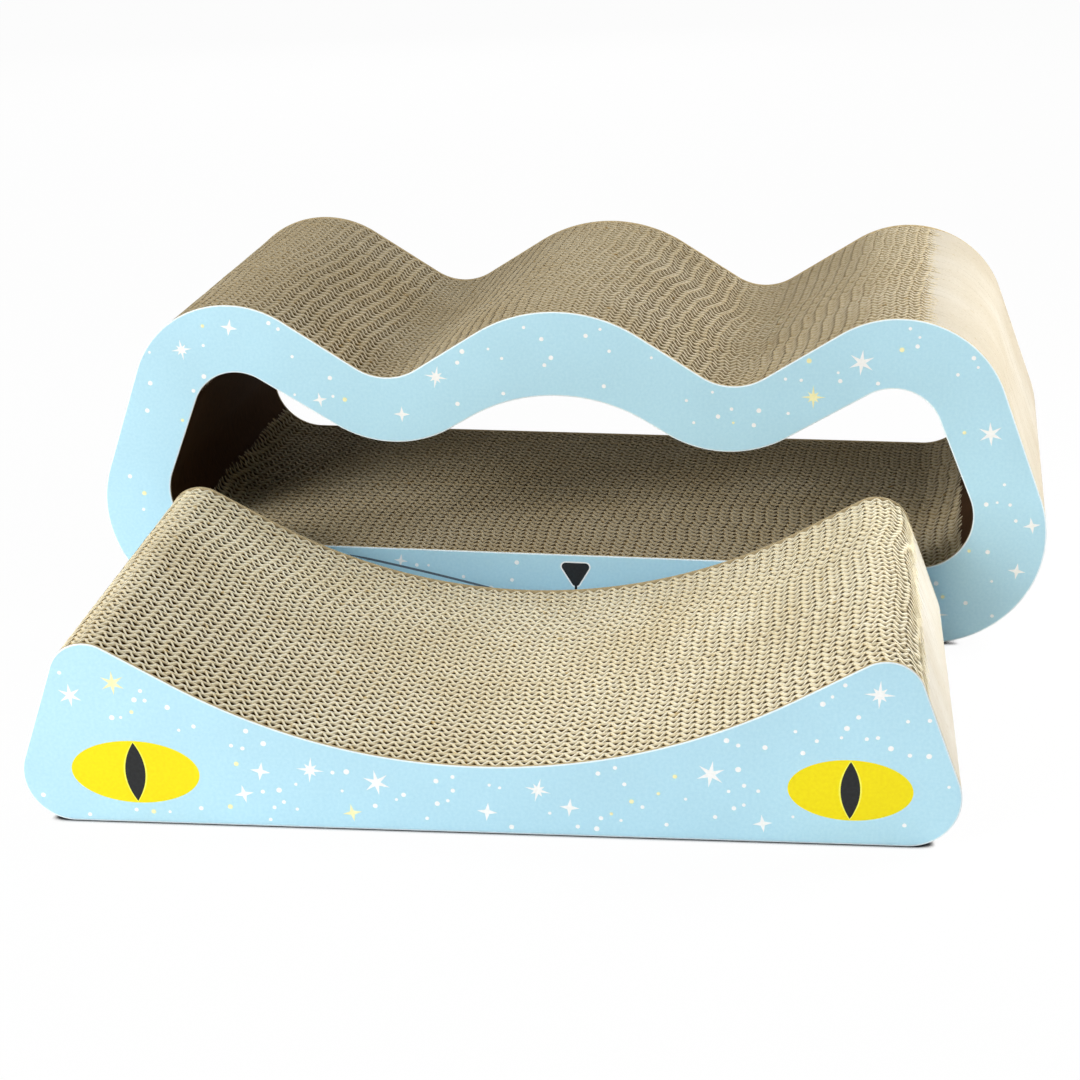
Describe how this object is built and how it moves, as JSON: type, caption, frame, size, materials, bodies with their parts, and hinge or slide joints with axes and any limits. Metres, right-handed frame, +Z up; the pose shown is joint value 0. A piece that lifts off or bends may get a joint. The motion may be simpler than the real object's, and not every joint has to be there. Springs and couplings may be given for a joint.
{
  "type": "cat scratcher",
  "caption": "Two-piece corrugated-board cat scratcher: a wavy-topped tunnel and a dished cradle that stands in front of it and nests in its opening.",
  "frame": {"origin": "middle of the tunnel's flat base, on the floor", "axes": "+X across the front, +Y from the front to the back of the tunnel, +Z up; the cradle stands on the -Y side"},
  "size_m": [0.46, 0.4149, 0.16],
  "materials": {
    "corrugated_board": "matte brown kraft, cut edges and open flutes",
    "printed_card": "matte light blue print with white and yellow stars and a thin white margin"
  },
  "bodies": {
    "tunnel": {"tunnel_front_cover": "printed_card", "tunnel_board_pack_01": "corrugated_board", "tunnel_board_pack_02": "corrugated_board", "tunnel_board_pack_03": "corrugated_board", "tunnel_board_pack_04": "corrugated_board", "tunnel_board_pack_05": "corrugated_board", "tunnel_board_pack_06": "corrugated_board", "tunnel_board_pack_07": "corrugated_board", "tunnel_board_pack_08": "corrugated_board", "tunnel_board_pack_09": "corrugated_board", "tunnel_board_pack_10": "corrugated_board", "tunnel_board_pack_11": "corrugated_board", "tunnel_board_pack_12": "corrugated_board", "tunnel_board_pack_13": "corrugated_board", "tunnel_rear_cover": "printed_card"},
    "cradle": {"cradle_front_cover": "printed_card", "cradle_board_pack_01": "corrugated_board", "cradle_board_pack_02": "corrugated_board", "cradle_board_pack_03": "corrugated_board", "cradle_board_pack_04": "corrugated_board", "cradle_board_pack_05": "corrugated_board", "cradle_board_pack_06": "corrugated_board", "cradle_board_pack_07": "corrugated_board", "cradle_board_pack_08": "corrugated_board", "cradle_board_pack_09": "corrugated_board", "cradle_board_pack_10": "corrugated_board", "cradle_board_pack_11": "corrugated_board", "cradle_board_pack_12": "corrugated_board", "cradle_board_pack_13": "corrugated_board", "cradle_rear_cover": "printed_card"}
  },
  "joints": [
    {"name": "cradle_slide", "type": "slide", "parent": "tunnel", "child": "cradle", "axis": [0, -1, 0], "range_m": [-0.012, 0.25]}
  ]
}
